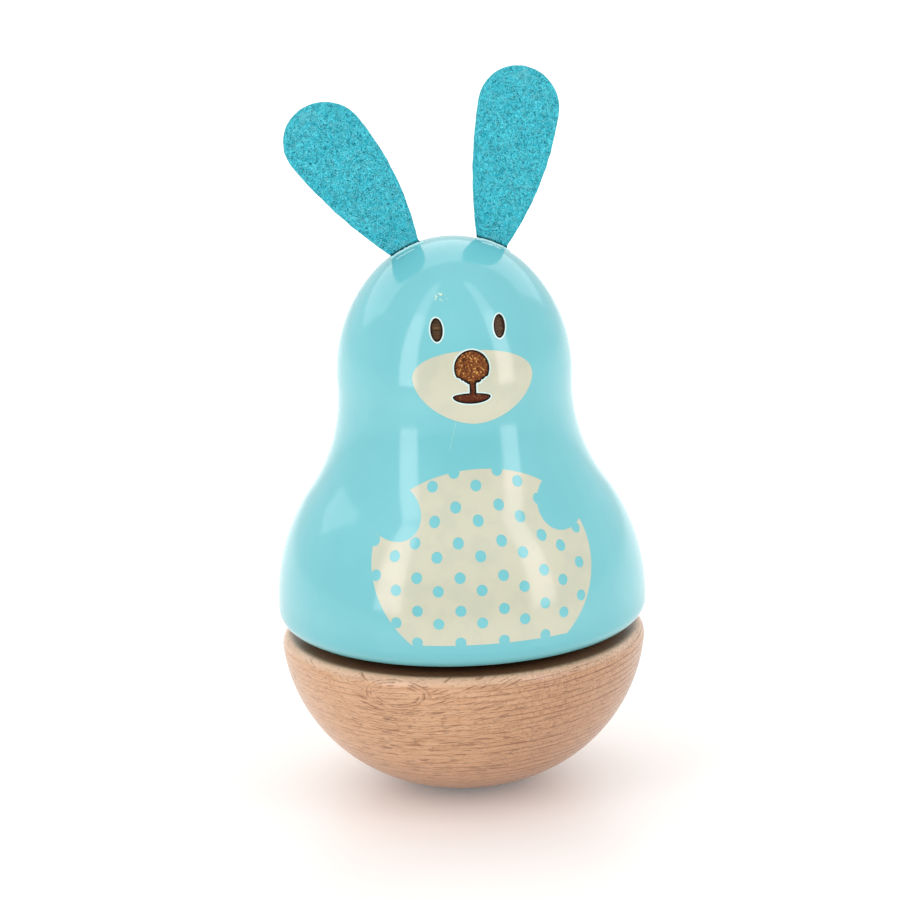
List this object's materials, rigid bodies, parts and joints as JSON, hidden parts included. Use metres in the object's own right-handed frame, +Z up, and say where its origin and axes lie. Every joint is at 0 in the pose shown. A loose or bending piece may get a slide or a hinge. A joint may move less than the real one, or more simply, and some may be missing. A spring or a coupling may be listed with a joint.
{
  "type": "music box",
  "caption": "Turned wooden bunny with felt ears on a weighted rocking base; twisting the figure winds a hidden pinned-drum movement that turns it back as it plays.",
  "frame": {"origin": "centre of the flat foot under the base, on the winding axis", "axes": "+Z up along the winding axis, -Y the way the face looks, +X to the figure's left hand side as seen from the front on the viewer's right"},
  "size_m": [0.0907, 0.0906, 0.1752],
  "materials": {
    "beech": "satin oiled",
    "plywood": "sanded",
    "lacquered_wood": "gloss lacquer",
    "ear_felt": "pressed felt",
    "glide_felt": "pressed felt",
    "cast_weight": "as cast",
    "steel": "machined",
    "spring_steel": "blued",
    "brass": "turned",
    "zinc": "die cast",
    "lead": "dull",
    "nylon": "moulded"
  },
  "bodies": {
    "base": {"base_bowl": "beech", "ballast_weight": "cast_weight", "ballast_screw": "steel", "top_disc": "plywood", "anchor_plate": "steel", "lock_nut": "steel", "winding_arbor": "steel", "felt_glide": "glide_felt", "crown_wheel": "brass", "click_washer": "spring_steel", "retaining_clip": "spring_steel"},
    "figure": {"body_shell": "lacquered_wood", "left_ear": "ear_felt", "right_ear": "ear_felt", "floor_board": "plywood", "floor_board_screws": "steel", "bedplate": "zinc", "bedplate_screws": "steel", "spring_barrel": "brass", "barrel_cover": "brass", "mainspring": "spring_steel", "comb": "spring_steel", "comb_weights": "lead", "comb_screws": "steel", "bearing_bracket": "steel", "bracket_screws": "steel", "governor_frame": "steel", "governor_screws": "steel"},
    "drum": {"drum_cylinder": "brass", "drum_pins": "steel", "drum_end_discs": "brass", "drum_arbor": "steel", "drum_pinion": "brass", "drum_gear": "brass"},
    "governor": {"governor_shaft": "steel", "governor_pinion": "brass", "worm_wheel": "nylon"},
    "fly": {"worm": "steel", "fly_vane": "nylon"}
  },
  "joints": [
    {"name": "twist", "type": "hinge", "parent": "base", "child": "figure", "pos_m": [0, 0, 0.04145], "axis": [0, 0, 1], "range_deg": [-2250, 0], "stiffness_Nm_per_rad": 0.0015, "deforming": ["mainspring"]},
    {"name": "drum_turn", "type": "hinge", "parent": "figure", "child": "drum", "pos_m": [0, 0, 0.06221], "axis": [1, 0, 0], "continuous": true},
    {"name": "governor_turn", "type": "hinge", "parent": "figure", "child": "governor", "pos_m": [0, -0.01164, 0.05909], "axis": [1, 0, 0], "continuous": true},
    {"name": "fly_turn", "type": "hinge", "parent": "figure", "child": "fly", "pos_m": [0.02, -0.01689, 0.04745], "axis": [0, 0, 1], "continuous": true}
  ],
  "couplings": [
    {"joint": "drum_turn", "follows": "twist", "ratio": -2.8},
    {"joint": "governor_turn", "follows": "twist", "ratio": 10.64},
    {"joint": "fly_turn", "follows": "twist", "ratio": 212.8}
  ]
}
